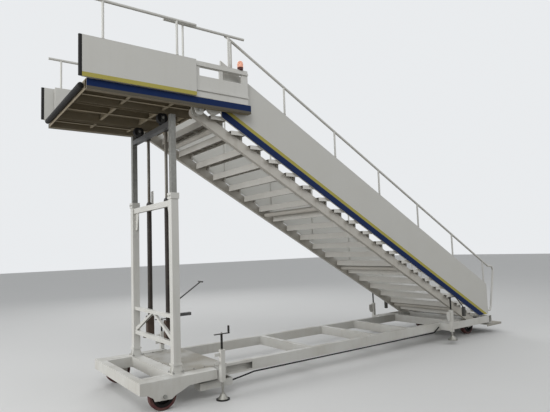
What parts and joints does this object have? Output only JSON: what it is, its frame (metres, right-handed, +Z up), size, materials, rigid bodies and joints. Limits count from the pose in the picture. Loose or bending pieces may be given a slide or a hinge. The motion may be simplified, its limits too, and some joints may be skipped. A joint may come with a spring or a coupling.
{
  "type": "mobile aircraft stairs",
  "caption": "Towable passenger stairs: a hinged stair flight with handrails, a level platform on a hydraulic mast, sliding side screens, screw jacks and small solid wheels",
  "frame": {"origin": "centre of the footprint of the whole, on the ground", "axes": "+X from the platform towards the foot of the stair, +Y towards the right side of a person who climbs, +Z up"},
  "size_m": [8.76, 2.2038, 5.0215],
  "materials": {
    "white_paint": "semi-gloss off-white enamel, dusty and scuffed",
    "stripe_blue": "semi-gloss dark blue enamel",
    "chequer_deck": "painted chequer plate, worn",
    "galvanised": "dull galvanised steel",
    "zinc_screw": "zinc plated, greased",
    "rod_steel": "ground piston rod, oily",
    "dark_steel": "black paint",
    "barrel_brown": "dark brown primer",
    "wheel_core": "dark cast core",
    "tread_maroon": "solid dark red tread, dusty",
    "black_rubber": "matt black rubber",
    "lamp_orange": "clear orange lamp body"
  },
  "bodies": {
    "chassis": {"chassis_frame": "white_paint", "side_plates": "white_paint", "front_deck": "chequer_deck", "rear_wheel_mounts": "white_paint", "axles": "zinc_screw", "mast_columns": "white_paint", "mast_bracing": "white_paint", "lift_barrels": "barrel_brown", "hand_pump": "dark_steel", "jack_tubes": "white_paint", "tool_tray": "white_paint", "service_hose": "black_rubber", "rear_step": "chequer_deck", "foot_hinges": "dark_steel"},
    "mast": {"inner_tubes": "galvanised", "crosshead": "galvanised", "rollers": "black_rubber", "lift_rods": "rod_steel"},
    "stair": {"stringers": "white_paint", "stair_treads": "chequer_deck", "tread_brackets": "white_paint", "stair_panel_left": "white_paint", "stair_panel_right": "white_paint", "stair_rail_left": "white_paint", "stair_rail_right": "white_paint"},
    "platform": {"platform_frame": "white_paint", "platform_floor": "chequer_deck", "platform_fascia": "stripe_blue", "knee_hinges": "white_paint", "bumper": "black_rubber", "fixed_screens": "white_paint", "fixed_rails": "white_paint", "beacon": "lamp_orange"},
    "screen_left": {"slide_screen_left": "white_paint", "slide_edge_left": "black_rubber", "slide_rail_left": "white_paint"},
    "screen_right": {"slide_screen_right": "white_paint", "slide_edge_right": "black_rubber", "slide_rail_right": "white_paint"},
    "wheel_front_left": {"wheel_front_left": "wheel_core", "tyre_front_left": "tread_maroon"},
    "jack_front_left": {"jack_screw_front_left": "zinc_screw"},
    "wheel_front_right": {"wheel_front_right": "wheel_core", "tyre_front_right": "tread_maroon"},
    "jack_front_right": {"jack_screw_front_right": "zinc_screw"},
    "wheel_rear_left": {"wheel_rear_left": "wheel_core", "tyre_rear_left": "tread_maroon"},
    "jack_rear_left": {"jack_screw_rear_left": "zinc_screw"},
    "wheel_rear_right": {"wheel_rear_right": "wheel_core", "tyre_rear_right": "tread_maroon"},
    "jack_rear_right": {"jack_screw_rear_right": "zinc_screw"}
  },
  "joints": [
    {"name": "stair_lift", "type": "hinge", "parent": "chassis", "child": "stair", "pos_m": [3.51, 0, 0.28922], "axis": [0, 1, 0], "range_deg": [-8, 4]},
    {"name": "platform_level", "type": "hinge", "parent": "stair", "child": "platform", "pos_m": [-2.78, 0, 3.847], "axis": [0, 1, 0], "range_deg": [-4, 8]},
    {"name": "mast_slide", "type": "slide", "parent": "chassis", "child": "mast", "axis": [0, 0, 1], "range_m": [-0.8939, 0.4472]},
    {"name": "screen_left_slide", "type": "slide", "parent": "platform", "child": "screen_left", "axis": [-1, 0, 0], "range_m": [-0.8, 0.3]},
    {"name": "screen_right_slide", "type": "slide", "parent": "platform", "child": "screen_right", "axis": [-1, 0, 0], "range_m": [-0.8, 0.3]},
    {"name": "wheel_front_left_spin", "type": "hinge", "parent": "chassis", "child": "wheel_front_left", "pos_m": [-3.323, -0.85, 0.18], "axis": [0, 1, 0], "continuous": true},
    {"name": "jack_front_left_screw", "type": "slide", "parent": "chassis", "child": "jack_front_left", "axis": [0, 0, 1], "range_m": [0, 0.14]},
    {"name": "wheel_front_right_spin", "type": "hinge", "parent": "chassis", "child": "wheel_front_right", "pos_m": [-3.323, 0.85, 0.18], "axis": [0, 1, 0], "continuous": true},
    {"name": "jack_front_right_screw", "type": "slide", "parent": "chassis", "child": "jack_front_right", "axis": [0, 0, 1], "range_m": [0, 0.14]},
    {"name": "wheel_rear_left_spin", "type": "hinge", "parent": "chassis", "child": "wheel_rear_left", "pos_m": [3.63, -0.58, 0.18], "axis": [0, 1, 0], "continuous": true},
    {"name": "jack_rear_left_screw", "type": "slide", "parent": "chassis", "child": "jack_rear_left", "axis": [0, 0, 1], "range_m": [-0.07, 0.065]},
    {"name": "wheel_rear_right_spin", "type": "hinge", "parent": "chassis", "child": "wheel_rear_right", "pos_m": [3.63, 0.58, 0.18], "axis": [0, 1, 0], "continuous": true},
    {"name": "jack_rear_right_screw", "type": "slide", "parent": "chassis", "child": "jack_rear_right", "axis": [0, 0, 1], "range_m": [-0.07, 0.065]}
  ],
  "couplings": [
    {"joint": "platform_level", "follows": "stair_lift", "ratio": -1},
    {"joint": "mast_slide", "follows": "stair_lift", "m_per_rad": 6.3986}
  ]
}
